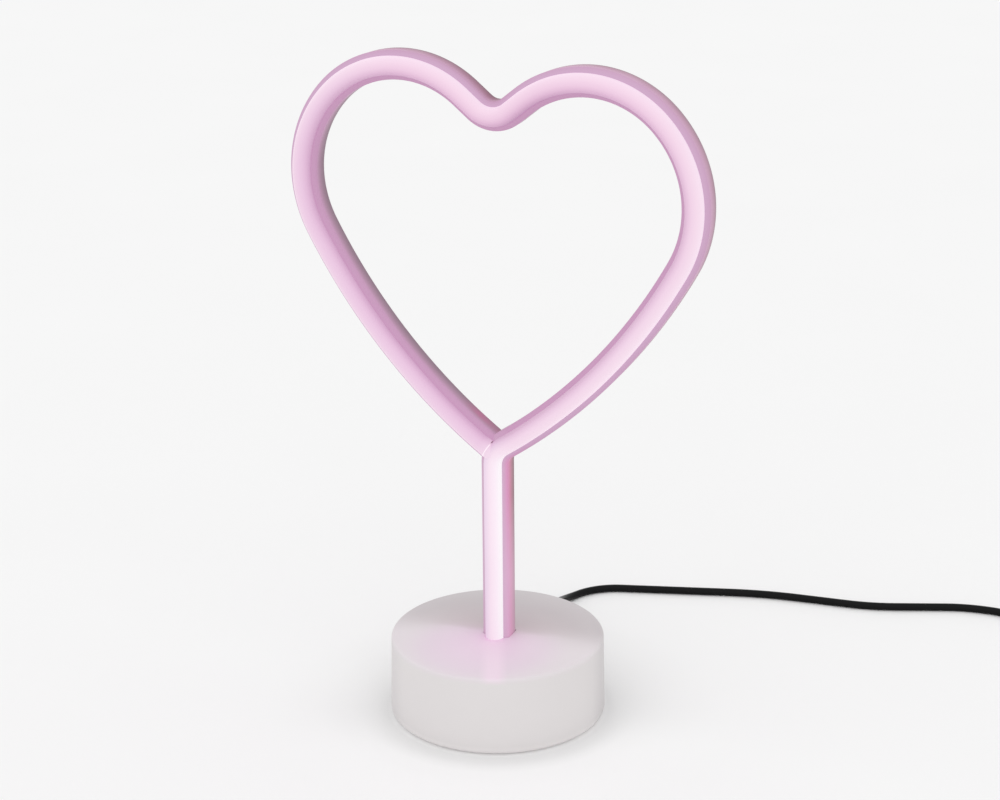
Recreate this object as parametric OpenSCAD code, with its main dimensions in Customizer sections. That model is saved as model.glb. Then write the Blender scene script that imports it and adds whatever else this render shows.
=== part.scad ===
/* [Base] */
// Largest diameter of the round base
base_d = 90; // [80:1:110]
// Height of the base above the table
base_h = 34; // [30:0.5:45]
// How much the base narrows towards its top, on each side
base_draft = 0.6; // [0:0.1:2]
// Wall thickness of the housing
wall = 2.2; // [1.6:0.1:3]
// Height of the table gap under the bottom cover
foot_gap = 0.5; // [0.4:0.1:2]

/* [Tube] */
// Half width of the light-giving front of the tube
front_half = 3.85; // [3:0.05:5]
// How far the rounded front stands out of the jacket
front_rise = 4.2; // [3:0.05:5]
// Half width of the jacket at its shoulder
shoulder_half = 5.9; // [5:0.05:7]
// Half width of the jacket at its back
back_half = 5.6; // [5:0.05:7]
// Depth of the jacket behind the front edge
jacket_depth = 9; // [7:0.1:12]
// How far behind the base's centre plane the back of the tube stands
back_y = 5.3; // [3:0.1:8]
// How far the stem stands to the right of the base's centre
stem_x = 0.5; // [-2:0.1:2]

/* [Heart] */
// Top of the straight stem above the table
stem_top = 111.1; // [90:0.5:130]
// Radius of the bend from the stem into the right limb
bend_r = 9.6; // [8:0.1:14]
// Slope of the right limb where it leaves the stem
right_slope = 34.2; // [30:0.1:45]
// Radius of the right limb
right_r = 235.2; // [180:0.1:320]
// Turn of the right limb
right_turn = 27.25; // [20:0.05:32]
// Radius of the left limb
left_r = 243.3; // [180:0.1:320]
// Turn of the left limb
left_turn = 26.05; // [20:0.05:32]
// Radius of the side of a lobe
side_r = 48.1; // [40:0.1:60]
// Turn of the side of a lobe
side_turn = 72.3; // [60:0.1:85]
// Radius of the top of a lobe
lobe_r = 42.9; // [36:0.1:50]
// Turn of the top of a lobe
lobe_turn = 85.1; // [75:0.1:95]
// Radius of the cleft between the lobes
cleft_r = 11.3; // [8:0.1:16]
// Straight length between the right lobe and the cleft
right_link = 6.94; // [4:0.01:10]
// Straight length between the cleft and the left lobe
left_link = 7.85; // [4:0.01:10]

/* [Cable] */
// Diameter of the power lead
cable_d = 3.4; // [2.5:0.1:5]
// Height of the power socket's axis above the table
jack_z = 15; // [13:0.5:18]
// Distance of the power socket from the base's centre line
jack_x = -10; // [-12:0.5:-7]
// Distance of the switch from the base's centre line
switch_x = 10; // [7:0.5:12]
// Travel of the switch
switch_travel = 4; // [3:0.1:5]

/* [Hidden] */
$fn = 64;

white = [0.87, 0.86, 0.85];
pink = [0.86, 0.62, 0.80];
milk = [0.98, 0.88, 0.96];
black = [0.08, 0.08, 0.09];
steel = [0.75, 0.76, 0.78];
green = [0.10, 0.38, 0.22];

base_r = base_d / 2;
top_r = base_r - base_draft;
inner_r = base_r - wall - 0.2;
roof_z = base_h - 2.4;
cover_z = foot_gap;
cover_t = 2.4;
cover_top = cover_z + cover_t;
flat_y = base_r - 3;
flat_in = flat_y - 2.4;
screw_angles = [30, 150, 270];
screw_ring = 37;
pad_r = 32;
clamp_x = 9.3;
clamp_z = 22;
board_z = 10.6;
board_t = 1.6;
board_top = board_z + board_t;
board_posts = [[-13, 25], [13, 25]];
peg_spots = [[-20, 0], [20, 0]];
jack_front = flat_in - 0.2;
switch_face = flat_in - 0.8;
slot_gap = 0.15;

front_y = back_y - jacket_depth;
channel_half = front_half + 0.1;
floor_y = back_y - 3;
stem_z0 = 12.5;

// Outline of the jacket, from its right front edge round the back to its left front edge
jacket_out = [
    [channel_half + 0.2, front_y], [shoulder_half, front_y + 1.2], [back_half, back_y - 0.7],
    [back_half - 0.7, back_y], [-back_half + 0.7, back_y], [-back_half, back_y - 0.7],
    [-shoulder_half, front_y + 1.2], [-channel_half - 0.2, front_y]
];
// Outline of the jacket's channel, point for point beside the outer one
jacket_in = [
    [channel_half, front_y], [channel_half, front_y + 1.2], [channel_half, floor_y - 0.7],
    [channel_half - 0.7, floor_y], [-channel_half + 0.7, floor_y], [-channel_half, floor_y - 0.7],
    [-channel_half, front_y + 1.2], [-channel_half, front_y]
];
dome_y = front_y - 0.05;
dome = [for (a = [0:22.5:180]) [front_half * cos(a), dome_y - front_rise * sin(a)]];
diffuser_section = concat(dome, [[-front_half, front_y + 1.3], [front_half, front_y + 1.3]]);
ribbon_section = [[0.15, -1.5], [-0.15, -1.5], [-0.15, floor_y - 0.05], [0.15, floor_y - 0.05]];
wire_section = [for (a = [0:45:315]) [2.4 + 0.75 * cos(a), floor_y - 0.8 - 0.75 * sin(a)]];
cable_section = [for (a = [0:45:315]) [cable_d / 2 * cos(a), cable_d / 2 * sin(a)]];

// A path is a list of steps [radius, turn, direction, pieces]; radius 0 makes the turn a straight length
function step(p, s, t) = s[0] == 0
    ? [p[0] + t * s[1] * cos(p[2]), p[1] + t * s[1] * sin(p[2]), p[2]]
    : let (h = p[2] + s[2] * s[1] * t)
        [p[0] + s[2] * s[0] * (sin(h) - sin(p[2])), p[1] - s[2] * s[0] * (cos(h) - cos(p[2])), h];
function walk(steps, p, k = 0) = k == len(steps)
    ? [p]
    : concat([for (j = [0:steps[k][3] - 1]) step(p, steps[k], j / steps[k][3])],
        walk(steps, step(p, steps[k], 1), k + 1));
function end_of(steps, p, k = 0) = k == len(steps) ? p : end_of(steps, step(p, steps[k], 1), k + 1);
function length_of(s) = s[0] == 0 ? s[1] : s[0] * s[1] * PI / 180;
function total(steps, k = 0) = k == len(steps) ? 0 : length_of(steps[k]) + total(steps, k + 1);
function pose_at(steps, p, d, k = 0) = k == len(steps) || d <= length_of(steps[k])
    ? step(p, steps[min(k, len(steps) - 1)], d / length_of(steps[min(k, len(steps) - 1)]))
    : pose_at(steps, step(p, steps[k], 1), d - length_of(steps[k]), k + 1);

stem_turn = 90 - right_slope;
rise = [
    [0, stem_top - stem_z0, 0, 1], [bend_r, stem_turn, -1, 7], [right_r, right_turn, 1, 9],
    [side_r, side_turn, 1, 12], [lobe_r, lobe_turn, 1, 14]
];
stem_start = [stem_x, stem_z0, 90];
lobe_end = end_of(rise, stem_start);
cleft_turn = lobe_end[2] - 180;
fall = [
    [0, right_link, 0, 1], [cleft_r, cleft_turn, -1, 5], [cleft_r, cleft_turn, -1, 5],
    [0, left_link, 0, 1], [lobe_r, lobe_turn, 1, 14], [side_r, side_turn, 1, 12],
    [left_r, left_turn, 1, 9]
];
tube_path = concat(rise, fall);
tube_end = end_of(tube_path, stem_start);

// Rings of a section swept along a path that lies in the upright plane of the heart
function upright_rings(poses, section) = [
    for (q = poses) [for (c = section) [q[0] - c[0] * sin(q[2]), c[1], q[1] + c[0] * cos(q[2])]]
];

// Triangles of the skin between rings of n points
function skin(rings, n) = [
    for (i = [0:rings - 2], j = [0:n - 1], k = [0, 1])
        let (a = i * n + j, b = i * n + (j + 1) % n, c = a + n, d = b + n)
            k == 0 ? [a, c, b] : [b, c, d]
];

module sweep(rings) {
    n = len(rings[0]);
    m = len(rings);
    ends = [[for (j = [0:n - 1]) j], [for (j = [n - 1:-1:0]) (m - 1) * n + j]];
    polyhedron(points = [for (r = rings, p = r) p], faces = concat(skin(m, n), ends), convexity = 10);
}

module channel_sweep(poses) {
    rings = upright_rings(poses, concat(jacket_out, [for (i = [7:-1:0]) jacket_in[i]]));
    n = 16;
    m = len(rings);
    first = [for (i = [0:6], k = [0, 1]) k == 0 ? [i, i + 1, 15 - i] : [i + 1, 14 - i, 15 - i]];
    last = [for (f = first) [f[2] + (m - 1) * n, f[1] + (m - 1) * n, f[0] + (m - 1) * n]];
    polyhedron(points = [for (r = rings, p = r) p], faces = concat(skin(m, n), first, last), convexity = 10);
}

function tube_outline(gap) = concat(
    [for (p = dome) p * (front_half + gap) / front_half + [0, dome_y * (-gap / front_half)]],
    [
        [-channel_half - 0.2 - gap, front_y - gap], [-shoulder_half - gap, front_y + 1.2 - gap],
        [-back_half - gap, back_y + gap], [back_half + gap, back_y + gap],
        [shoulder_half + gap, front_y + 1.2 - gap], [channel_half + 0.2 + gap, front_y - gap]
    ]
);

// Puts a section's drawing upright across the tube at a pose of its path
module across(pose, length) {
    translate([pose[0], 0, pose[1]])
        rotate([0, -pose[2], 0])
            rotate([0, 90, 0])
                linear_extrude(height = length)
                    mirror([1, 0])
                        children();
}

module tube_jacket() {
    color(pink) channel_sweep(walk(tube_path, stem_start));
}

module tube_diffuser() {
    color(milk) sweep(upright_rings(walk(tube_path, stem_start), diffuser_section));
}

module tube_end_cap() {
    bend = [[0, 30, 0, 1], rise[1], rise[2]];
    color(milk)
        difference() {
            across(tube_end, 4.2)
                polygon(tube_outline(0));
            sweep(upright_rings(walk(bend, [stem_x, stem_top - 30, 90]), tube_outline(0.08)));
        }
}

module led_ribbon() {
    ribbon_start = [stem_x, stem_z0 - 3, 90];
    foot = [0, stem_top - stem_z0 + 3, 0, 1];
    ribbon_path = concat([foot], [for (i = [1:len(tube_path) - 1]) tube_path[i]]);
    color(white) sweep(upright_rings(walk(ribbon_path, ribbon_start), ribbon_section));
}

chip_pitch = 16.6;
chip_count = floor((total(tube_path) - 12) / chip_pitch);

module on_ribbon(d) {
    q = pose_at(tube_path, stem_start, d);
    translate([q[0], 0, q[1]])
        rotate([0, -q[2], 0])
            children();
}

module led_chips() {
    color([0.95, 0.93, 0.80])
        for (i = [0:chip_count - 1])
            on_ribbon(10 + i * chip_pitch)
                translate([-1.5, -1.9, -1.3])
                    cube([3, 1.2, 1]);
}

module chip_resistors() {
    color(black)
        for (i = [0:2:chip_count - 1])
            on_ribbon(10 + chip_pitch / 2 + i * chip_pitch)
                translate([-0.8, 0.2, 0.3])
                    cube([1.6, 0.8, 0.5]);
}

module former_wire() {
    wire_start = [stem_x, stem_z0 - 2, 90];
    foot = [0, stem_top - stem_z0 + 2, 0, 1];
    wire_path = concat([foot], [for (i = [1:len(tube_path) - 1]) tube_path[i]]);
    color(steel) sweep(upright_rings(walk(wire_path, wire_start), wire_section));
}

module shell_profile() {
    edge = 1.3;
    foot_edge = 1.8;
    polygon(concat(
        [[0, cover_z]],
        [for (a = [-90:22.5:0]) [base_r + foot_edge * (cos(a) - 1), cover_z + foot_edge * (sin(a) + 1)]],
        [for (a = [0:15:90]) [top_r - edge + edge * cos(a), base_h - edge + edge * sin(a)]],
        [[0, base_h]]
    ));
}

module base_shell() {
    color(white)
        difference() {
            union() {
                difference() {
                    rotate_extrude($fn = 128)
                        shell_profile();
                    translate([0, 0, -1])
                        cylinder(h = roof_z + 1, r = inner_r, $fn = 128);
                }
                intersection() {
                    cylinder(h = roof_z + 0.5, r = inner_r + 0.5, $fn = 128);
                    translate([-19, flat_in, cover_top + 0.2])
                        cube([38, 8, 21.6]);
                }
                translate([-12.5, -9.8, stem_z0 - 0.5])
                    cube([25, 15.2, roof_z - stem_z0 + 1]);
                for (a = screw_angles)
                    rotate([0, 0, a])
                        translate([screw_ring, 0, cover_top + 0.1])
                            cylinder(h = roof_z - cover_top, r = 3.4);
            }
            translate([-30, flat_y, cover_z + 2.6])
                cube([60, 10, 20]);
            translate([stem_x, 0, -1])
                linear_extrude(height = base_h + 2)
                    polygon(tube_outline(slot_gap));
            for (x = [-clamp_x, clamp_x])
                translate([x, 6, clamp_z])
                    rotate([90, 0, 0])
                        cylinder(h = 9, d = 2.56);
            for (a = screw_angles)
                rotate([0, 0, a])
                    translate([screw_ring, 0, cover_z])
                        cylinder(h = 14, d = 2.56);
            translate([jack_x, flat_in - 1, jack_z])
                rotate([-90, 0, 0])
                    cylinder(h = 6, d = 8);
            translate([switch_x - 3.7, flat_in - 1, board_top + 1.1])
                cube([7.4, 6, 2.2]);
        }
}

module base_cover() {
    color(white)
        difference() {
            union() {
                translate([0, 0, cover_z])
                    cylinder(h = cover_t, r = inner_r - 0.3, $fn = 128);
                for (p = board_posts)
                    translate([p[0], p[1], cover_z + 1])
                        cylinder(h = board_z - cover_z - 1, d = 5.4);
                for (p = peg_spots)
                    translate([p[0], p[1], cover_z + 1])
                        cylinder(h = 8.6, d = 4);
            }
            for (a = screw_angles)
                rotate([0, 0, a])
                    translate([screw_ring, 0, 0]) {
                        cylinder(h = 10, d = 2.9);
                        translate([0, 0, cover_z - 1])
                            cylinder(h = 2.4, d = 5.6);
                    }
            translate([0, 0, cover_z - 1])
                cylinder(h = 1.6, r = pad_r + 0.15, $fn = 128);
            for (p = board_posts)
                translate([p[0], p[1], cover_top + 0.6])
                    cylinder(h = 10, d = 2.06);
        }
}

module ballast_plate() {
    color(steel)
        translate([0, 0, cover_top])
            difference() {
                intersection() {
                    cylinder(h = 5, r = 31);
                    translate([-40, -40, 0])
                        cube([80, 60, 6]);
                }
                for (p = peg_spots)
                    translate([p[0], p[1], -1])
                        cylinder(h = 8, d = 4.3);
            }
}

module foot_pad() {
    color(black)
        rotate_extrude($fn = 128)
            polygon([[0, 0], [pad_r - 0.3, 0], [pad_r, 0.3], [pad_r, cover_z + 0.6], [0, cover_z + 0.6]]);
}

module screw(length, d, head_d, head_h) {
    difference() {
        union() {
            cylinder(h = length, d = d);
            translate([0, 0, -head_h])
                cylinder(h = head_h, d = head_d);
        }
        for (a = [0, 90])
            rotate([0, 0, a])
                translate([-head_d * 0.3, -0.3, -head_h - 1])
                    cube([head_d * 0.6, 0.6, 1 + head_h * 0.6]);
    }
}

module cover_screws() {
    color(steel)
        for (a = screw_angles)
            rotate([0, 0, a])
                translate([screw_ring, 0, cover_z + 1.38])
                    screw(10, 2.5, 5, 1.3);
}

module stem_clamp() {
    color(white)
        difference() {
            union() {
                translate([-12.5, back_y + 0.22, clamp_z - 7])
                    cube([25, 3, 14]);
                translate([stem_x - 4.5, back_y + 0.02, clamp_z - 7])
                    cube([9, 0.4, 14]);
            }
            for (x = [-clamp_x, clamp_x])
                translate([x, back_y - 1, clamp_z])
                    rotate([-90, 0, 0])
                        cylinder(h = 6, d = 2.9);
        }
}

module clamp_screws() {
    color(steel)
        for (x = [-clamp_x, clamp_x])
            translate([x, back_y + 3.24, clamp_z])
                rotate([90, 0, 0])
                    screw(10, 2.5, 5, 1.6);
}

module circuit_board() {
    color(green)
        translate([0, 0, board_z])
            difference() {
                translate([-16, 21, 0])
                    cube([32, 17.6, board_t]);
                for (p = board_posts)
                    translate([p[0], p[1], -1])
                        cylinder(h = 4, d = 2.4);
                translate([stem_x - 1.3, 22.4, -1])
                    cube([2.6, 1.2, 4]);
            }
}

module board_screws() {
    color(steel)
        for (p = board_posts)
            translate([p[0], p[1], board_top + 0.02])
                mirror([0, 0, 1])
                    screw(6, 2, 4, 1.3);
}

module jack_body() {
    color(black)
        difference() {
            translate([jack_x - 3.6, jack_front - 11, board_top + 0.02])
                cube([7.2, 11, 6.2]);
            translate([jack_x, jack_front - 10, jack_z])
                rotate([-90, 0, 0])
                    cylinder(h = 12, d = 3.6);
            translate([jack_x, jack_front - 12, jack_z])
                rotate([-90, 0, 0])
                    cylinder(h = 6, d = 1.24);
        }
}

module jack_pin() {
    color(steel)
        translate([jack_x, jack_front - 10.9, jack_z])
            rotate([-90, 0, 0])
                cylinder(h = 9.4, d = 1.2);
}

module switch_body() {
    color(steel)
        difference() {
            translate([switch_x - 5, switch_face - 5, board_top + 0.02])
                cube([10, 5, 4.4]);
            translate([switch_x - 3.8, switch_face - 2.6, board_top + 1])
                cube([7.6, 4, 2.4]);
        }
}

module switch_knob() {
    mid = switch_x - switch_travel / 2;
    color(black)
        union() {
            translate([mid - 1.5, switch_face - 2.4, board_top + 1.2])
                cube([3, flat_y - switch_face + 3, 2]);
            translate([mid - 2.4, flat_y + 0.15, board_top + 0.5])
                cube([4.8, 1, 3.4]);
            for (x = [-1.6, 0, 1.6])
                translate([mid + x - 0.3, flat_y + 1, board_top + 0.5])
                    cube([0.6, 0.7, 3.4]);
        }
}

lead_start = [-0.6, 9.95, 0];
lead_steps = [[0, 22.6, 0, 1], [1, 90, 1, 4], [0, 1.8, 0, 1]];
lead_section = [for (a = [0:45:315]) [0.4 * cos(a), -0.4 * sin(a)]];

module lead_wires() {
    for (side = [-1, 1])
        color(side < 0 ? black : [0.75, 0.1, 0.1])
            translate([stem_x + side * 0.58, 0, 0])
                rotate([0, 0, 90])
                    sweep(upright_rings(walk(lead_steps, lead_start), lead_section));
}

module plug_barrel() {
    color(steel)
        translate([jack_x, jack_front - 8.6, jack_z])
            rotate([-90, 0, 0])
                difference() {
                    cylinder(h = 12, d = 3.5);
                    translate([0, 0, -1])
                        cylinder(h = 10, d = 1.4);
                }
}

plug_y = jack_front + 0.5;

module plug_overmould() {
    color(black)
        translate([jack_x, plug_y, jack_z])
            rotate([-90, 0, 0])
                difference() {
                    rotate_extrude()
                        polygon([
                            [0, 0], [3.6, 0], [3.6, 3.4], [4.2, 4], [4.2, 14], [3.6, 15],
                            [2.9, 15.2], [2.5, 23], [0, 23]
                        ]);
                    translate([0, 0, -1])
                        cylinder(h = 4, d = 3.54);
                    translate([0, 0, 18])
                        cylinder(h = 8, d = cable_d + 0.1);
                }
}

cable_start = [jack_x, plug_y + 18.1, 90];
cable_path = [
    [0, 8, 0, 1], [150, 11.5, 1, 6], [0, 2, 0, 1], [27, 83.2, -1, 12], [0, 50.3, 0, 1], [160, 11.5, -1, 3],
    [0, 23.1, 0, 1], [80, 15.8, 1, 3], [0, 22.5, 0, 1], [60, 33.7, -1, 6], [0, 30, 0, 1], [55, 78.9, -1, 12],
    [0, 60, 0, 1]
];
cable_end = end_of(cable_path, cable_start);
cable_total = total(cable_path);
usb_z = 4.2;
function ease(t) = let (u = min(max(t, 0), 1)) u * u * (3 - 2 * u);
function cable_z(d) = cable_d / 2 + (jack_z - cable_d / 2) * (1 - ease((d - 5) / 52))
    + (usb_z - cable_d / 2) * ease((d - cable_total + 41) / 28);
function cable_slope(d) = atan((cable_z(d + 0.5) - cable_z(d - 0.5)));
cable_marks = concat(
    [0, 4], [for (i = [1:16]) 4 + i * 3.4], [for (i = [1:60]) 58.4 + i * (cable_total - 99.8) / 60],
    [for (i = [1:8]) cable_total - 41.4 + i * 3.6], [cable_total]
);

module cable() {
    rings = [
        for (d = cable_marks)
            let (q = pose_at(cable_path, cable_start, d), e = cable_slope(d), z = cable_z(d))
                [
                    for (c = cable_section) [
                        q[0] - c[0] * sin(q[2]) - c[1] * cos(q[2]) * sin(e),
                        q[1] + c[0] * cos(q[2]) - c[1] * sin(q[2]) * sin(e),
                        z + c[1] * cos(e)
                    ]
                ]
    ];
    color(black) sweep([for (r = rings) [for (i = [7:-1:0]) r[i]]]);
}

// Frame of the USB plug: +X points along the plug, away from the lead
module at_usb() {
    translate([cable_end[0], cable_end[1], usb_z])
        rotate([0, 0, cable_end[2]])
            children();
}

module rounded_bar(length, width, height, r) {
    rotate([90, 0, 90])
        linear_extrude(height = length)
            union() {
                square([width - 2 * r, height], center = true);
                square([width, height - 2 * r], center = true);
                for (x = [-1, 1], y = [-1, 1])
                    translate([x * (width / 2 - r), y * (height / 2 - r)])
                        circle(r = r, $fn = 32);
            }
}

module usb_overmould() {
    color(black)
        at_usb()
            difference() {
                union() {
                    rounded_bar(24, 15.6, 8.2, 2.4);
                    translate([-9, 0, 0])
                        rotate([0, 90, 0])
                            cylinder(h = 9.5, d1 = 4.6, d2 = 6.4);
                }
                translate([-10, 0, 0])
                    rotate([0, 90, 0])
                        cylinder(h = 10.5, d = cable_d + 0.1);
                translate([18, -6.05, -2.3])
                    cube([8, 12.1, 4.6]);
            }
}

module usb_shell() {
    color(steel)
        at_usb()
            difference() {
                translate([18.05, -6, -2.25])
                    cube([17.8, 12, 4.5]);
                translate([19, -5.7, -1.95])
                    cube([18, 11.4, 3.9]);
                for (y = [-3.6, 1.2])
                    translate([30.5, y, 1])
                        cube([2.4, 2.4, 2]);
            }
}

module usb_tongue() {
    color(white)
        at_usb()
            translate([19.05, -5.6, -1.9])
                cube([16, 11.2, 1.9]);
}

module usb_contacts() {
    color([0.85, 0.70, 0.30])
        at_usb()
            for (y = [-3.5, -1, 1, 3.5])
                translate([26, y - 0.5, 0.02])
                    cube([8.4, 1, 0.2]);
}

base_shell();
base_cover();
ballast_plate();
foot_pad();
cover_screws();
stem_clamp();
clamp_screws();
circuit_board();
board_screws();
jack_body();
jack_pin();
switch_body();
switch_knob();
lead_wires();
tube_jacket();
tube_diffuser();
tube_end_cap();
led_ribbon();
led_chips();
chip_resistors();
former_wire();
plug_barrel();
plug_overmould();
cable();
usb_overmould();
usb_shell();
usb_tongue();
usb_contacts();
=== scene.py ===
"""Looks of the heart lamp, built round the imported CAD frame.

Lengths are in metres, except in the tube's and the lead's drawings, which are in millimetres.
"""

import math

import bmesh
import bpy
import numpy as np
from mathutils import Matrix, Vector


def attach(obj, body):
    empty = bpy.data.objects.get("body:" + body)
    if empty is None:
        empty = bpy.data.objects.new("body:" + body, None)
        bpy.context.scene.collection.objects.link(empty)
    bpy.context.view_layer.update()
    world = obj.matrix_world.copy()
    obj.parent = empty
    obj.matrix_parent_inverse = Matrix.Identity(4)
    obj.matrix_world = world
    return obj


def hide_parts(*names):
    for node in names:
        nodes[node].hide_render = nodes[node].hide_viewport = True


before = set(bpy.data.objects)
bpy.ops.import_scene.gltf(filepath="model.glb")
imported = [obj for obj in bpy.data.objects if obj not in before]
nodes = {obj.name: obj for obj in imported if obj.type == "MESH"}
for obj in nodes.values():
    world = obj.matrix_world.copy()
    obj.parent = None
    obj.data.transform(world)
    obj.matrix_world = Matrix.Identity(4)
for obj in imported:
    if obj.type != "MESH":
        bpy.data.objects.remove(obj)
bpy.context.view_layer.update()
MM = 0.001


# Paths: a list of steps (radius, turn in degrees, side). Radius 0 makes the turn a straight length.
def step(p, s, t):
    radius, turn, side = s
    if radius == 0:
        return p[0] + t * turn * math.cos(p[2]), p[1] + t * turn * math.sin(p[2]), p[2]
    h = p[2] + side * math.radians(turn) * t
    return (
        p[0] + side * radius * (math.sin(h) - math.sin(p[2])),
        p[1] - side * radius * (math.cos(h) - math.cos(p[2])),
        h,
    )


def span(s):
    return s[1] if s[0] == 0 else s[0] * math.radians(s[1])


def walk(steps, p, pitch, straight):
    out, d = [], 0.0
    for s in steps:
        n = max(1, math.ceil(span(s) / (straight if s[0] == 0 else pitch)))
        out += [(*step(p, s, k / n), d + span(s) * k / n) for k in range(n)]
        p, d = step(p, s, 1), d + span(s)
    return out + [(*p, d)]


def end_of(steps, p):
    for s in steps:
        p = step(p, s, 1)
    return p


# Tube: the same centre line as the CAD nodes.
STEM_Z0, STEM_TOP = 12.5, 111.1
FRONT_HALF, SHOULDER, BACK_HALF = 3.85, 5.9, 5.6
FRONT_Y, BACK_Y, FRONT_RISE, STEM_X = -3.7, 5.3, 4.2, 0.5
START = (STEM_X, STEM_Z0, math.pi / 2)
RISE = [(0, STEM_TOP - STEM_Z0, 0), (9.6, 55.8, -1), (235.2, 27.25, 1), (48.1, 72.3, 1), (42.9, 85.1, 1)]
FALL = [
    (0, 6.94, 0), (11.3, 38.85, -1), (11.3, 38.85, -1), (0, 7.85, 0),
    (42.9, 85.1, 1), (48.1, 72.3, 1), (243.3, 26.05, 1),
]
# How far the skins run on into the stem under the bead, and how much their back is set in there
OVERLAP, OVERLAP_INSET = 7.5, 0.08
TUBE = walk(RISE + FALL + [(0, OVERLAP, 0)], START, 1.2, 4.0)
TUBE_LENGTH = sum(span(s) for s in RISE + FALL)
TUBE_END = end_of(RISE + FALL, START)


def soften(corners, steps=4):
    """Rounds each corner (u, y, v, radius) of an open or closed outline with a short curve."""
    out = []
    n = len(corners)
    for i, (u, y, v, r) in enumerate(corners):
        if r == 0:
            out.append((u, y, v))
            continue
        before, after = corners[i - 1], corners[(i + 1) % n]
        arms = []
        for q in (before, after):
            length = math.hypot(q[0] - u, q[1] - y)
            k = min(r, 0.45 * length) / length
            arms.append((u + (q[0] - u) * k, y + (q[1] - y) * k, v + (q[2] - v) * k))
        for j in range(steps + 1):
            t = j / steps
            out.append(tuple(
                (1 - t) ** 2 * a + 2 * t * (1 - t) * b + t * t * c
                for a, b, c in zip(arms[0], (u, y, v), arms[1])
            ))
    return out


def loft(name, rings, values, lengths, material, body, sharp=40):
    """A closed skin through rings of points, capped at both ends. UV is (length along, value across)."""
    m, n = len(rings), len(rings[0])
    mesh = bpy.data.meshes.new(name)
    points = [tuple(MM * c for c in p) for ring in rings for p in ring]
    faces, uvs = [], []
    for i in range(m - 1):
        for j in range(n):
            k = (j + 1) % n
            faces.append((i * n + j, i * n + k, (i + 1) * n + k, (i + 1) * n + j))
            uvs += [
                (lengths[i], values[j]), (lengths[i], values[k]),
                (lengths[i + 1], values[k]), (lengths[i + 1], values[j]),
            ]
    caps = ((0, range(n - 1, -1, -1), lengths[0]), ((m - 1) * n, range(n), lengths[-1]))
    for base, order, d in caps:
        faces.append(tuple(base + j for j in order))
        uvs += [(d, values[j]) for j in order]
    mesh.from_pydata(points, [], faces)
    layer = mesh.uv_layers.new(name="across")
    layer.data.foreach_set("uv", np.array(uvs, np.float32).ravel())
    b = bmesh.new()
    b.from_mesh(mesh)
    bmesh.ops.recalc_face_normals(b, faces=b.faces)
    b.to_mesh(mesh)
    b.free()
    mesh.polygons.foreach_set("use_smooth", [True] * len(mesh.polygons))
    mesh.set_sharp_from_angle(angle=math.radians(sharp))
    mesh.materials.append(material)
    o = bpy.data.objects.new(name, mesh)
    bpy.context.scene.collection.objects.link(o)
    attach(o, body)
    return o


def tube_rings(section):
    """The section's points (u, y, v) set upright across every pose of the tube."""
    rings = []
    for x, z, h, d in TUBE:
        rear = BACK_Y - OVERLAP_INSET if d > TUBE_LENGTH + 0.1 else BACK_Y
        rings.append([(x - u * math.sin(h), min(y, rear), z + u * math.cos(h)) for u, y, v in section])
    return rings


# Direction the lamp is seen from, in radians
AZIMUTH, ELEVATION, LEAN = math.radians(24.83), math.radians(19.63), math.radians(-0.542)


# Materials
def rgb(r, g, b):
    """A display colour of 0 to 255 as the linear colour the renderer uses."""
    shares = [c / 255 for c in (r, g, b)]
    return tuple(((c + 0.055) / 1.055) ** 2.4 for c in shares) + (1.0,)


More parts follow.
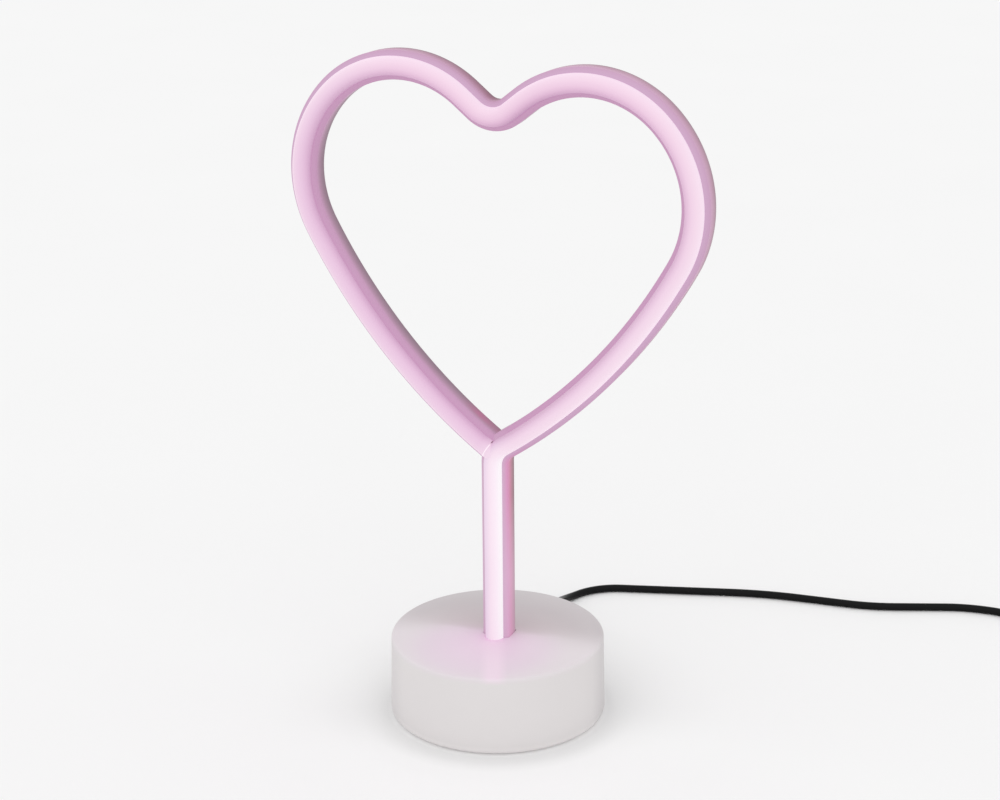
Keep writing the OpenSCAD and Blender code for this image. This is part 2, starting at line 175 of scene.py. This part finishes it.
class Paint:
    """A small builder for node materials."""

    def __init__(self, name):
        self.material = bpy.data.materials.new(name)
        self.material.use_nodes = True
        self.tree = self.material.node_tree
        self.shader = next(n for n in self.tree.nodes if n.type == "BSDF_PRINCIPLED")

    def node(self, kind, **values):
        n = self.tree.nodes.new(kind)
        for key, value in values.items():
            setattr(n, key, value)
        return n

    def link(self, a, b):
        self.tree.links.new(a, b)

    def put(self, socket, value):
        if isinstance(value, bpy.types.NodeSocket):
            self.link(value, socket)
        else:
            socket.default_value = value

    def set(self, **values):
        for key, value in values.items():
            self.put(self.shader.inputs[key.replace("_", " ")], value)
        return self

    def place(self):
        return self.node("ShaderNodeTexCoord").outputs["Object"]

    def across(self):
        split = self.node("ShaderNodeSeparateXYZ")
        self.link(self.node("ShaderNodeUVMap", uv_map="across").outputs["UV"], split.inputs[0])
        return split.outputs[0], split.outputs[1]

    def math(self, kind, a, b=0.0, c=None):
        n = self.node("ShaderNodeMath", operation=kind)
        self.put(n.inputs[0], a)
        self.put(n.inputs[1], b)
        if c is not None:
            self.put(n.inputs[2], c)
        return n.outputs[0]

    def noise(self, scale, detail=2.0, vector=None):
        n = self.node("ShaderNodeTexNoise")
        n.inputs["Scale"].default_value = scale
        n.inputs["Detail"].default_value = detail
        self.link(vector or self.place(), n.inputs["Vector"])
        return n.outputs["Fac"]

    def ramp(self, value, stops, smooth=False):
        n = self.node("ShaderNodeValToRGB")
        n.color_ramp.interpolation = "EASE" if smooth else "LINEAR"
        e = n.color_ramp.elements
        while len(e) < len(stops):
            e.new(0.5)
        for item, (at, colour) in zip(e, sorted(stops)):
            item.position = at
            item.color = colour if isinstance(colour, tuple) else (colour, colour, colour, 1)
        self.put(n.inputs[0], value)
        return n.outputs[0]

    def shades(self, value, stops):
        """A ramp whose stops are (position, red, green, blue), the colours from 0 to 255."""
        return self.ramp(value, [(at, rgb(r, g, b)) for at, r, g, b in stops])

    def mix(self, factor, a, b, kind="MIX"):
        n = self.node("ShaderNodeMix", data_type="RGBA", blend_type=kind)
        self.put(n.inputs["Factor"], factor)
        self.put(n.inputs[6], a)
        self.put(n.inputs[7], b)
        return n.outputs[2]

    def scaled(self, colour, k):
        n = self.node("ShaderNodeVectorMath", operation="SCALE")
        self.put(n.inputs[0], colour)
        n.inputs["Scale"].default_value = k
        return n.outputs[0]

    def bump(self, height, strength, distance):
        n = self.node("ShaderNodeBump")
        n.inputs["Strength"].default_value = strength
        n.inputs["Distance"].default_value = distance
        self.link(height, n.inputs["Height"])
        self.link(n.outputs[0], self.shader.inputs["Normal"])
        return self


def plastic(name, colour, rough, grain=900, depth=0.00003, metal=0.0):
    """Moulded plastic or plain metal: a slightly uneven colour, uneven gloss and a fine grain."""
    p = Paint(name)
    cloud = p.noise(35, 3)
    dark = tuple(c * 0.94 for c in colour[:3]) + (1,)
    light = tuple(min(1, c * 1.06) for c in colour[:3]) + (1,)
    p.set(
        Base_Color=p.mix(cloud, dark, light),
        Metallic=metal,
        Roughness=p.ramp(p.noise(120, 2), [(0.3, rough * 0.85), (0.7, min(1, rough * 1.15))]),
    )
    return p.bump(p.noise(grain, 2), 0.35, depth)


def brushed(name, colour, rough=0.32):
    """Metal with fine drawn lines and a little tarnish."""
    p = Paint(name)
    stretch = p.node("ShaderNodeMapping")
    stretch.inputs["Scale"].default_value = (40, 40, 1400)
    p.link(p.place(), stretch.inputs["Vector"])
    lines = p.noise(1, 2, vector=stretch.outputs[0])
    dull = p.noise(60, 3)
    p.set(
        Base_Color=p.mix(dull, tuple(0.78 * c for c in colour[:3]) + (1,), colour),
        Metallic=1.0,
        Roughness=p.ramp(lines, [(0.25, rough * 0.8), (0.75, rough * 1.3)]),
    )
    return p.bump(lines, 0.2, 0.00002)


# Stops (metres along the tube, strength) of where the painted light and shade change along its path from the stem
# to the free end
STEM_TO_LIMB = [(0.098, 0.0), (0.118, 1.0)]
RIGHT_TO_LEFT = [(0.41, 0.0), (0.47, 1.0)]
LOBES = [(0.19, 0.0), (0.25, 0.5), (0.29, 1.0), (0.40, 1.0), (0.43, 0.3), (0.47, 0.0)]
JACKET_STEM_TO_LIMB = [(0.100, 0.0), (0.116, 1.0)]
UPPER_STEM = [(0.050, 0.0), (0.085, 1.0), (0.104, 1.0), (0.125, 0.0)]
CLEFT = [(0.345, 0.0), (0.354, 1.0), (0.364, 1.0), (0.390, 0.3), (0.410, 0.0)]
FORK = [(0.592, 0.0), (0.601, 0.8), (0.608, 0.35)]
JOINT, JOINT_BLUR = (TUBE_LENGTH + 3.9) * MM, 0.0003


def dome_paint():
    """Milky front of the tube, lit from inside, with painted shade towards its inner edge and a painted highlight
    making it whitest along its outer edge.
    """
    p = Paint("milky_silicone")
    along, across = p.across()
    cloud = p.math("SUBTRACT", p.noise(22, 1), 0.5)
    shifted = p.math("MULTIPLY_ADD", cloud, 0.10, across)
    # Painted light and shade across the dome: darker at the inner edge, whitest at the outer edge; the stem and the
    # left limb get tones of their own
    limb = p.shades(shifted, [
        (0.00, 203, 163, 192), (0.10, 208, 169, 198), (0.21, 217, 180, 207),
        (0.33, 231, 197, 222), (0.50, 243, 214, 234), (0.68, 248, 223, 239),
        (0.86, 251, 230, 244), (0.98, 252, 234, 247),
    ])
    stem = p.shades(shifted, [
        (0.00, 206, 178, 200), (0.10, 217, 189, 212), (0.20, 226, 200, 223),
        (0.33, 237, 214, 234), (0.52, 250, 229, 243), (0.72, 254, 239, 250),
        (0.88, 255, 250, 254),
    ])
    left = p.shades(shifted, [
        (0.00, 206, 162, 195), (0.10, 216, 173, 206), (0.22, 227, 187, 217),
        (0.36, 234, 198, 225), (0.52, 239, 206, 230), (0.70, 241, 213, 232),
        (0.85, 239, 217, 232), (0.98, 224, 206, 219),
    ])
    # Painted shade: on the lobes the dome darkens and reddens towards its inner edge
    lobe_inner_shade = p.ramp(across, [
        (0.00, (0.80, 0.66, 0.80, 1)), (0.10, (0.86, 0.75, 0.86, 1)), (0.22, (0.95, 0.86, 0.93, 1)),
        (0.40, (0.97, 0.90, 0.94, 1)), (1.00, (0.97, 0.93, 0.96, 1)),
    ])
    limb = p.mix(p.ramp(along, LOBES), limb, p.mix(1.0, limb, lobe_inner_shade, "MULTIPLY"))
    lit = p.mix(p.ramp(along, RIGHT_TO_LEFT), limb, left)
    lit = p.mix(p.ramp(along, STEM_TO_LIMB, True), stem, lit)
    past = p.ramp(along, [(JOINT - JOINT_BLUR, 0.0), (JOINT + JOINT_BLUR, 1.0)])
    lit = p.mix(past, lit, rgb(245, 221, 238))
    seen = p.node("ShaderNodeLightPath").outputs["Is Camera Ray"]
    glow = p.mix(seen, (1.0, 0.36, 0.86, 1), lit)
    p.set(Base_Color=p.scaled(lit, 0.42), Roughness=0.42, Emission_Color=glow, Emission_Strength=0.56)
    return p.bump(p.noise(700, 2), 0.12, 0.00003)


def jacket_paint():
    """Pink silicone jacket: lilac beside the lit front, with painted shade making it browner towards its back
    edges, in the heart's cleft and at the fork.
    """
    p = Paint("pink_silicone")
    along, across = p.across()
    cloud = p.math("SUBTRACT", p.noise(30, 2), 0.5)
    shifted = p.math("MULTIPLY_ADD", cloud, 0.05, across)
    # Painted shade: the limbs' sides darken towards their back edges
    limb_side_shaded = p.shades(shifted, [
        (0.00, 201, 156, 190), (0.16, 197, 150, 185), (0.25, 169, 129, 155),
        (0.33, 144, 113, 132), (0.40, 130, 104, 119), (0.45, 164, 122, 149),
        (0.55, 164, 122, 149), (0.60, 146, 118, 132), (0.67, 172, 131, 152),
        (0.76, 192, 147, 175), (0.86, 201, 159, 191), (1.00, 206, 171, 200),
    ])
    # The stem's side, with the same painted shade towards its back edges
    stem = p.shades(shifted, [
        (0.00, 206, 176, 198), (0.16, 204, 166, 194), (0.40, 164, 128, 148),
        (0.45, 172, 130, 156), (0.55, 172, 130, 156), (0.60, 184, 149, 167),
        (0.68, 203, 155, 181), (0.75, 215, 160, 191), (0.80, 219, 163, 198),
        (0.86, 219, 171, 203), (1.00, 211, 180, 204),
    ])
    side = p.mix(p.ramp(along, JACKET_STEM_TO_LIMB, True), stem, limb_side_shaded)
    # Painted shade: the outer side darkens along the upper stem
    upper_stem_shade = p.ramp(across, [
        (0.50, (1.00, 1.00, 1.00, 1)), (0.60, (0.48, 0.47, 0.42, 1)), (0.68, (0.66, 0.56, 0.52, 1)),
        (0.75, (0.86, 0.60, 0.64, 1)), (0.86, (0.98, 0.76, 0.88, 1)), (1.00, (0.98, 0.96, 0.98, 1)),
    ])
    side = p.mix(p.ramp(along, UPPER_STEM), side, p.mix(1.0, side, upper_stem_shade, "MULTIPLY"))
    # Painted shade: darker red on the outer side in the heart's cleft
    cleft_shade = p.math(
        "MULTIPLY", p.ramp(along, CLEFT),
        p.ramp(across, [(0.55, 0.0), (0.62, 1.0), (0.71, 0.9), (0.80, 0.45), (0.88, 0.1), (1.00, 0.0)]),
    )
    side = p.mix(cleft_shade, side, p.mix(1.0, side, (0.58, 0.35, 0.45, 1), "MULTIPLY"))
    # Painted shade: darker pink on the inner side at the fork, where the free end meets the stem
    fork_shade = p.math(
        "MULTIPLY", p.ramp(along, FORK),
        p.ramp(across, [(0.20, 0.0), (0.30, 1.0), (0.39, 0.7), (0.42, 0.0)]),
    )
    side = p.mix(fork_shade, side, rgb(184, 92, 138))
    p.set(
        Base_Color=p.scaled(side, 0.62),
        Roughness=p.ramp(p.noise(90, 2), [(0.3, 0.4), (0.7, 0.5)]),
        Emission_Color=side,
        Emission_Strength=0.38,
    )
    return p.bump(p.noise(600, 2), 0.15, 0.00004)


# Centre of the light's patch on the base, how much the shade's edge is turned, and how ragged it is
PATCH_X, PATCH_Y, SHADE_TURN, SHADE_RAGGED = 0.0008, -0.014, -0.18, 0.004
# Ramps start at 0, so signed distances go in with this added
MIDDLE = 0.5


def base_paint():
    """Warm white moulding with painted light and shade: a pool of the tube's pink light on its top in front of the
    stem, painted shade behind it, darker sides towards the left and right edges and a little painted light along
    its bottom edge.
    """
    p = Paint("warm_white_plastic")
    split = p.node("ShaderNodeSeparateXYZ")
    p.link(p.place(), split.inputs[0])
    x, y, z = split.outputs
    white = p.mix(p.noise(30, 3), rgb(221, 217, 217), rgb(225, 221, 221))
    dx = p.math("SUBTRACT", x, PATCH_X)
    dy = p.math("ADD", y, -PATCH_Y)
    far = p.math("SQRT", p.math("MULTIPLY_ADD", dx, dx, p.math("MULTIPLY", dy, dy)))
    turned = p.math("MULTIPLY_ADD", x, SHADE_TURN, y)
    wobble = p.math("MULTIPLY_ADD", p.math("SUBTRACT", p.noise(60, 2), 0.5), SHADE_RAGGED, turned)
    # Painted light: a pool of the tube's pink on the top in front of the stem; painted shade behind it
    pink = p.shades(far, [
        (0.000, 238, 211, 232), (0.012, 233, 210, 229), (0.024, 228, 211, 225),
        (0.034, 226, 219, 223),
    ])
    shade = p.shades(far, [
        (0.010, 200, 173, 185), (0.024, 190, 174, 179), (0.044, 187, 179, 182),
        (0.058, 197, 192, 194),
    ])
    level = p.math("ADD", wobble, MIDDLE)
    near = p.ramp(level, [(0.4985, 1.0), (0.5060, 0.0)], True)
    wide = p.ramp(level, [(0.4880, 1.0), (0.5140, 0.0)], True)
    ahead = p.mix(p.ramp(far, [(0.018, 0.0), (0.040, 1.0)]), near, wide)
    top = p.mix(ahead, shade, pink)
    lateral = p.math("MULTIPLY_ADD", x, math.cos(AZIMUTH), p.math("MULTIPLY", y, math.sin(AZIMUTH)))
    aside = p.math("ADD", lateral, MIDDLE)
    # Painted light: a lighter pink streak on the top, running from the stem's front towards the view
    painted_spill_light = p.ramp(aside, [(0.4935, 0.0), (0.4965, 1.0), (0.4995, 1.0), (0.5025, 0.0)], True)
    top = p.mix(p.math("MULTIPLY", painted_spill_light, ahead), top, rgb(243, 220, 237))
    on_top = p.ramp(z, [(0.0322, 0.0), (0.0338, 1.0)], True)
    # Painted shade: the side darkens towards its left and right edges as seen from the view
    edge = p.ramp(aside, [(0.4560, 0.5), (0.4600, 0.0), (0.5385, 0.0), (0.5440, 1.0)])
    white = p.mix(edge, white, rgb(208, 204, 205))
    # Painted light: the bottom 2 mm of the side glow faintly in the moulding's white, lightening its lower edge
    p.set(
        Base_Color=p.mix(on_top, white, top),
        Roughness=p.ramp(p.noise(80, 2), [(0.3, 0.5), (0.7, 0.6)]),
        Emission_Color=white,
        Emission_Strength=p.ramp(z, [(0.0006, 0.10), (0.0018, 0.0)]),
    )
    return p.bump(p.noise(1500, 2), 0.2, 0.00002)


def seam_paint():
    """Bright bead between the tube's free end and the stem, with a dark pinhole of painted shade at its inner end.
    """
    p = Paint("seam_bead")
    _, across = p.across()
    # Dark band at 0.03 to 0.10: painted shade standing for the pinhole
    tone = p.shades(across, [
        (0.00, 206, 160, 190), (0.03, 120, 74, 96), (0.10, 120, 74, 96), (0.13, 214, 176, 202),
        (0.22, 255, 236, 248), (0.80, 255, 244, 252), (1.00, 244, 222, 238),
    ])
    cloud = p.mix(p.noise(300, 2), p.scaled(tone, 0.94), tone)
    p.set(Base_Color=p.scaled(cloud, 0.45), Emission_Color=cloud, Emission_Strength=0.58, Roughness=0.3)
    return p.bump(p.noise(500, 2), 0.15, 0.00003)


def cable_paint():
    """Black sheath of the lead: deep black with a low, uneven gloss."""
    p = Paint("black_sheath")
    cloud = p.noise(60, 3)
    p.set(
        Base_Color=p.mix(cloud, (0.002, 0.002, 0.0022, 1), (0.004, 0.004, 0.0045, 1)),
        Roughness=p.ramp(p.noise(200, 2), [(0.3, 0.26), (0.7, 0.36)]),
        Specular_IOR_Level=0.13,
    )
    return p.bump(p.noise(1400, 2), 0.3, 0.00003)


def board_paint():
    """Green circuit board with a darker tracing of copper under its mask."""
    p = Paint("board_mask")
    grid = p.node("ShaderNodeTexBrick")
    grid.inputs["Scale"].default_value = 420
    grid.inputs["Color1"].default_value = (0.015, 0.11, 0.045, 1)
    grid.inputs["Color2"].default_value = (0.02, 0.14, 0.06, 1)
    grid.inputs["Mortar"].default_value = (0.05, 0.22, 0.10, 1)
    grid.inputs["Mortar Size"].default_value = 0.04
    p.link(p.place(), grid.inputs["Vector"])
    p.set(Base_Color=grid.outputs["Color"], Roughness=0.3, Coat_Weight=0.4)
    return p.bump(p.noise(500, 2), 0.2, 0.00003)


def chip_paint():
    """Lit phosphor of the light sources."""
    p = Paint("chip_phosphor")
    colour = rgb(252, 232, 214)
    cloud = p.mix(p.noise(160, 2), tuple(0.86 * c for c in colour[:3]) + (1,), colour)
    p.set(Base_Color=p.scaled(cloud, 0.5), Emission_Color=cloud, Emission_Strength=0.9, Roughness=0.25)
    return p.bump(p.noise(500, 2), 0.15, 0.00003)


DOME, JACKET, BASE, SHEATH, SEAM, BOARD, CHIP = (
    paint().material
    for paint in (dome_paint, jacket_paint, base_paint, cable_paint, seam_paint, board_paint, chip_paint)
)
STEEL = brushed("bright_steel", (0.62, 0.62, 0.64, 1)).material
ZINC = plastic("zinc_plate", (0.42, 0.43, 0.45, 1), 0.38, 300, metal=1.0).material
BRASS = brushed("gilt_contact", (0.80, 0.58, 0.22, 1), 0.25).material
BLACK = plastic("black_plastic", (0.018, 0.018, 0.02, 1), 0.42).material
RUBBER = plastic("foot_rubber", (0.03, 0.03, 0.033, 1), 0.75, 500, 0.00005).material
WHITE = plastic("inner_white_plastic", rgb(226, 224, 221), 0.5).material
RIBBON = plastic("ribbon_mask", rgb(236, 234, 230), 0.35).material
WIRE = plastic("wire_sleeve", (0.45, 0.02, 0.02, 1), 0.35).material

PAINTS = {
    "base_shell": BASE, "base_cover": WHITE, "ballast_plate": ZINC, "foot_pad": RUBBER,
    "cover_screws": STEEL, "stem_clamp": WHITE, "clamp_screws": STEEL, "circuit_board": BOARD,
    "board_screws": STEEL, "jack_body": BLACK, "jack_pin": BRASS, "switch_body": STEEL,
    "switch_knob": BLACK, "lead_wires": WIRE, "led_ribbon": RIBBON, "led_chips": CHIP,
    "chip_resistors": BLACK, "former_wire": STEEL, "plug_barrel": STEEL, "plug_overmould": SHEATH,
    "usb_overmould": SHEATH, "usb_shell": STEEL, "usb_tongue": WHITE, "usb_contacts": BRASS,
}
# Edge radii in millimetres
BEVELS = {"base_shell": 0.25, "plug_overmould": 0.3, "usb_overmould": 0.5, "switch_knob": 0.15}


def dress(name, material):
    """Gives a CAD node its material, joined smooth faces and, where its edges show, a small edge radius."""
    o = nodes[name]
    o.data.materials.clear()
    o.data.materials.append(material)
    o.data.polygons.foreach_set("material_index", [0] * len(o.data.polygons))
    o.data.polygons.foreach_set("use_smooth", [True] * len(o.data.polygons))
    for attribute in ("custom_normal", "sharp_edge"):
        if attribute in o.data.attributes:
            o.data.attributes.remove(o.data.attributes[attribute])
    weld = o.modifiers.new("weld", "WELD")
    weld.merge_threshold = 0.000002
    if name in BEVELS:
        bevel = o.modifiers.new("edge", "BEVEL")
        bevel.width = BEVELS[name] * MM
        bevel.segments = 3
        bevel.limit_method = "ANGLE"
        bevel.angle_limit = math.radians(38)
    split = o.modifiers.new("split", "EDGE_SPLIT")
    split.split_angle = math.radians(32)


for name, material in PAINTS.items():
    dress(name, material)

# Tube, smooth. The value across it runs from the inner front edge round the back to the outer one.
V_LEDGE, V_WALL, V_BACK = 0.16, 0.40, 0.46
LEDGE, CHAMFER, SOFT = 1.2, 0.7, 0.5
CHANNEL_FLOOR = BACK_Y - 3
outer = soften([
    (FRONT_HALF + 0.2, FRONT_Y, 0.0, 0),
    (SHOULDER, FRONT_Y + LEDGE, V_LEDGE, SOFT),
    (BACK_HALF, BACK_Y - CHAMFER, V_WALL, SOFT),
    (BACK_HALF - CHAMFER, BACK_Y, V_BACK, SOFT),
    (-BACK_HALF + CHAMFER, BACK_Y, 1 - V_BACK, SOFT),
    (-BACK_HALF, BACK_Y - CHAMFER, 1 - V_WALL, SOFT),
    (-SHOULDER, FRONT_Y + LEDGE, 1 - V_LEDGE, SOFT),
    (-FRONT_HALF - 0.2, FRONT_Y, 1.0, 0),
])
channel = [
    (-FRONT_HALF - 0.03, FRONT_Y, 1.0),
    (-FRONT_HALF - 0.1, FRONT_Y + 0.4, 1.0),
    (-FRONT_HALF - 0.1, CHANNEL_FLOOR - CHAMFER, 0.5),
    (-FRONT_HALF + 0.6, CHANNEL_FLOOR, 0.5),
    (FRONT_HALF - 0.6, CHANNEL_FLOOR, 0.5),
    (FRONT_HALF + 0.1, CHANNEL_FLOOR - CHAMFER, 0.5),
    (FRONT_HALF + 0.1, FRONT_Y + 0.4, 0.0),
    (FRONT_HALF + 0.03, FRONT_Y, 0.0),
]
jacket_section = outer + channel
DOME_Y = FRONT_Y - 0.05
dome_arc = [
    (FRONT_HALF * math.cos(a), DOME_Y - FRONT_RISE * math.sin(a), a / math.pi)
    for a in np.linspace(0, math.pi, 29)
]
dome_section = dome_arc + [(-FRONT_HALF, FRONT_Y + 1.3, 1.0), (FRONT_HALF, FRONT_Y + 1.3, 0.0)]
along = [q[3] * MM for q in TUBE]
for name, section, material, node, slot in (
    ("tube_jacket_skin", jacket_section, JACKET, "tube_jacket", "jacket_pink"),
    ("tube_front_dome", dome_section, DOME, "tube_diffuser", "diffuser_milk"),
):
    skin = loft(name, tube_rings(section), [p[2] for p in section], along, material, "base")
    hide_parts(node)


def dome_scaled(k):
    """The dome's arc, larger or smaller about the middle of its foot."""
    return [(u * k, DOME_Y - (DOME_Y - y) * k, v) for u, y, v in dome_arc]


# Bead round the front of the tube's free end. Its rings stand BEAD_REACH past the end and slant across it.
BEAD_OUT, BEAD_IN, BEAD_REACH, BEAD_SLANT = 1.012, 0.9, (3.75, 3.95, 4.15), 0.09
bead_outline = dome_scaled(BEAD_OUT) + dome_scaled(BEAD_IN)[::-1]
bead_rings = []
for reach in BEAD_REACH:
    ring = []
    for u, y, v in bead_outline:
        d = reach - BEAD_SLANT * u
        ring.append((
            TUBE_END[0] + d * math.cos(TUBE_END[2]) - u * math.sin(TUBE_END[2]), y,
            TUBE_END[1] + d * math.sin(TUBE_END[2]) + u * math.cos(TUBE_END[2]),
        ))
    bead_rings.append(ring)
bead_values, bead_lengths = [p[2] for p in bead_outline], [0.0, 0.0002, 0.0004]
bead = loft("tube_end_bead", bead_rings, bead_values, bead_lengths, SEAM, "base")
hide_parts("tube_end_cap")

# Power lead, smooth
CABLE_D, JACK_X, JACK_Z, USB_Z = 3.4, -10.0, 15.0, 4.2
LEAD = [
    (0, 8, 0), (150, 11.5, 1), (0, 2, 0), (27, 83.2, -1), (0, 50.3, 0), (160, 11.5, -1), (0, 23.1, 0),
    (80, 15.8, 1), (0, 22.5, 0), (60, 33.7, -1), (0, 30, 0), (55, 78.9, -1), (0, 60, 0),
]
LEAD_START = (JACK_X, 58.0, math.pi / 2)
SIDES, PITCH = 24, 1.5
# The lead falls from the socket over FALL_LENGTH, from FALL_START on. RISE_LEFT before its end it starts to rise to
# the USB plug, over RISE_LENGTH.
FALL_START, FALL_LENGTH, RISE_LEFT, RISE_LENGTH = 5, 52, 41, 28
lead = walk(LEAD, LEAD_START, PITCH, PITCH)
lead_length = lead[-1][3]


def ease(t):
    """Smooth step from 0 to 1."""
    t = min(max(t, 0.0), 1.0)
    return t * t * (3 - 2 * t)


def lead_z(d):
    """Height of the lead's centre line: down from the socket, along the table, up to the USB plug."""
    low = CABLE_D / 2
    down = (JACK_Z - low) * (1 - ease((d - FALL_START) / FALL_LENGTH))
    return low + down + (USB_Z - low) * ease((d - lead_length + RISE_LEFT) / RISE_LENGTH)


cable_rings = []
for x, y, h, d in lead:
    e = math.atan(lead_z(d + 0.5) - lead_z(d - 0.5))
    ring = []
    for a in np.linspace(0, 2 * math.pi, SIDES, endpoint=False):
        side, up = CABLE_D / 2 * math.cos(a), CABLE_D / 2 * math.sin(a)
        ring.append((
            x - side * math.sin(h) - up * math.cos(h) * math.sin(e),
            y + side * math.cos(h) - up * math.sin(h) * math.sin(e),
            lead_z(d) + up * math.cos(e),
        ))
    cable_rings.append(ring)
turns = [j / SIDES for j in range(SIDES)]
sheath = loft("cable_sheath", cable_rings, turns, [q[3] * MM for q in lead], SHEATH, "lead")
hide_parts("cable")

# Floor: pale, with the lamp's soft shade painted round its foot, painted a little lighter just in front of it, and
# a thin ring of painted light under the base's edge
floor_mesh = bpy.data.meshes.new("floor")
FLOOR = 9
corners = [(-FLOOR, -FLOOR, 0), (FLOOR, -FLOOR, 0), (FLOOR, FLOOR, 0), (-FLOOR, FLOOR, 0)]
floor_mesh.from_pydata(corners, [], [(0, 1, 2, 3)])
floor = bpy.data.objects.new("floor", floor_mesh)
bpy.context.scene.collection.objects.link(floor)
paper = Paint("pale_floor")
split = paper.node("ShaderNodeSeparateXYZ")
paper.link(paper.place(), split.inputs[0])
floor_x, floor_y = split.outputs[0], split.outputs[1]
square = paper.math("MULTIPLY_ADD", floor_x, floor_x, paper.math("MULTIPLY", floor_y, floor_y))
away = paper.math("SQRT", square)
NEARER_X, NEARER_Y = 0.42, -0.907
nearer = paper.math("MULTIPLY_ADD", floor_x, NEARER_X, paper.math("MULTIPLY", floor_y, NEARER_Y))
contact_shade = paper.ramp(away, [(0.045, 0.79), (0.052, 0.85), (0.062, 0.885), (0.075, 0.91), (0.095, 0.926)])
# Painted shade in front of the base, narrower, with the floor painted a little lighter just beyond it
front = paper.ramp(away, [
    (0.0450, 0.80), (0.0475, 0.81), (0.0500, 0.825), (0.0525, 0.86), (0.0550, 0.91), (0.0580, 0.945),
    (0.0700, 0.945), (0.1000, 0.926),
])
grain = paper.mix(paper.noise(9, 2), (0.985, 0.985, 0.985, 1), (1, 1, 1, 1))
ahead = paper.ramp(paper.math("ADD", nearer, MIDDLE), [(0.500, 0.0), (0.545, 1.0)], True)
# Painted light: the floor glows a little in a thin ring just under the base's edge
bounce = paper.ramp(away, [(0.0400, 0.13), (0.0438, 0.13), (0.0450, 0.0)])
paper.set(
    Base_Color=paper.mix(1.0, paper.mix(ahead, contact_shade, front), grain, "MULTIPLY"), Roughness=0.9,
    Emission_Color=(1.0, 0.98, 0.98, 1), Emission_Strength=bounce,
)
paper.shader.inputs["Specular IOR Level"].default_value = 0.0
floor_mesh.materials.append(paper.material)

# Light: an even white sky and a very wide key from the front and above
world = bpy.data.worlds.new("studio")
bpy.context.scene.world = world
world.use_nodes = True
sky = world.node_tree.nodes["Background"]
sky.inputs["Color"].default_value = (1, 1, 1, 1)
sky.inputs["Strength"].default_value = 0.92
key = bpy.data.lights.new("key", "SUN")
key.energy = 0.36
key.angle = math.radians(75)
key_object = bpy.data.objects.new("key", key)
key_object.rotation_mode = "QUATERNION"
key_object.rotation_quaternion = Vector((-0.15, 0.75, -1.0)).to_track_quat("-Z", "Y")
bpy.context.scene.collection.objects.link(key_object)

# Camera, at the lamp's three-quarter view
target, distance = Vector((0.00055, -0.00135, 0.1377)), 0.93819
right = Vector((math.cos(AZIMUTH), math.sin(AZIMUTH), 0))
flat = math.cos(ELEVATION)
back = Vector((math.sin(AZIMUTH) * flat, -math.cos(AZIMUTH) * flat, math.sin(ELEVATION)))
up = back.cross(right)
side_axis = math.cos(LEAN) * right + math.sin(LEAN) * up
top_axis = math.cos(LEAN) * up - math.sin(LEAN) * right
eye = bpy.data.cameras.new("camera")
eye.sensor_width = 36
eye.lens = 83.8
eye.shift_x = 0.0048
eye.clip_start, eye.clip_end = 0.05, 40
camera = bpy.data.objects.new("camera", eye)
turn = Matrix((side_axis, top_axis, back)).transposed().to_4x4()
camera.matrix_world = Matrix.Translation(target + back * distance) @ turn
bpy.context.scene.collection.objects.link(camera)
bpy.context.scene.camera = camera
bpy.context.scene.view_settings.view_transform = "Standard"
bpy.context.scene.view_settings.look = "None"
